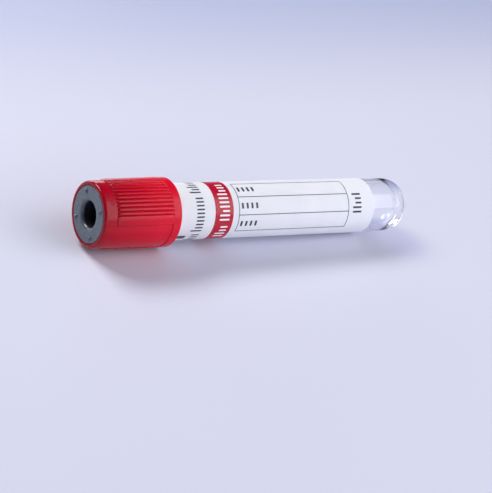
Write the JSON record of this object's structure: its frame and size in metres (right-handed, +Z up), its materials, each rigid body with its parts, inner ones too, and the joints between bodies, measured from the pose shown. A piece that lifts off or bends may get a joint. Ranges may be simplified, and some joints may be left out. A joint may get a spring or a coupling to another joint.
{
  "type": "blood collection tube",
  "caption": "Clear round-bottomed tube lying on its side, with a wrap-round white label, a grey rubber stopper with a needle well, and a red ribbed cap that twists and pulls off.",
  "frame": {"origin": "bottom centre of the bounding box, on the table under the lying tube", "axes": "+X runs from the cap to the round bottom, level with the table, +Y away from the label's form, +Z up. The tube's own axis falls by 1.53 degrees towards +X, because the cap is thicker than the tube"},
  "size_m": [0.0836, 0.015, 0.0155],
  "materials": {
    "clear_plastic": "clear, glossy injection moulded PET",
    "label_film": "white printed film, satin",
    "stopper_rubber": "smooth grey moulded rubber",
    "cap_plastic": "red moulded polypropylene, semi-gloss",
    "print_dark": "black printing ink",
    "print_red": "red printing ink"
  },
  "bodies": {
    "tube": {"tube": "clear_plastic", "label": "label_film"},
    "stopper": {"stopper": "stopper_rubber"},
    "cap": {"cap": "cap_plastic"}
  },
  "joints": [
    {"name": "closure_pull", "type": "slide", "parent": "tube", "child": "stopper", "axis": [-0.9996, 0, 0.0267], "range_m": [0, 0.025]},
    {"name": "cap_twist", "type": "hinge", "parent": "stopper", "child": "cap", "pos_m": [-0.04136, 0, 0.00805], "axis": [-0.9996, 0, 0.0267], "continuous": true}
  ]
}
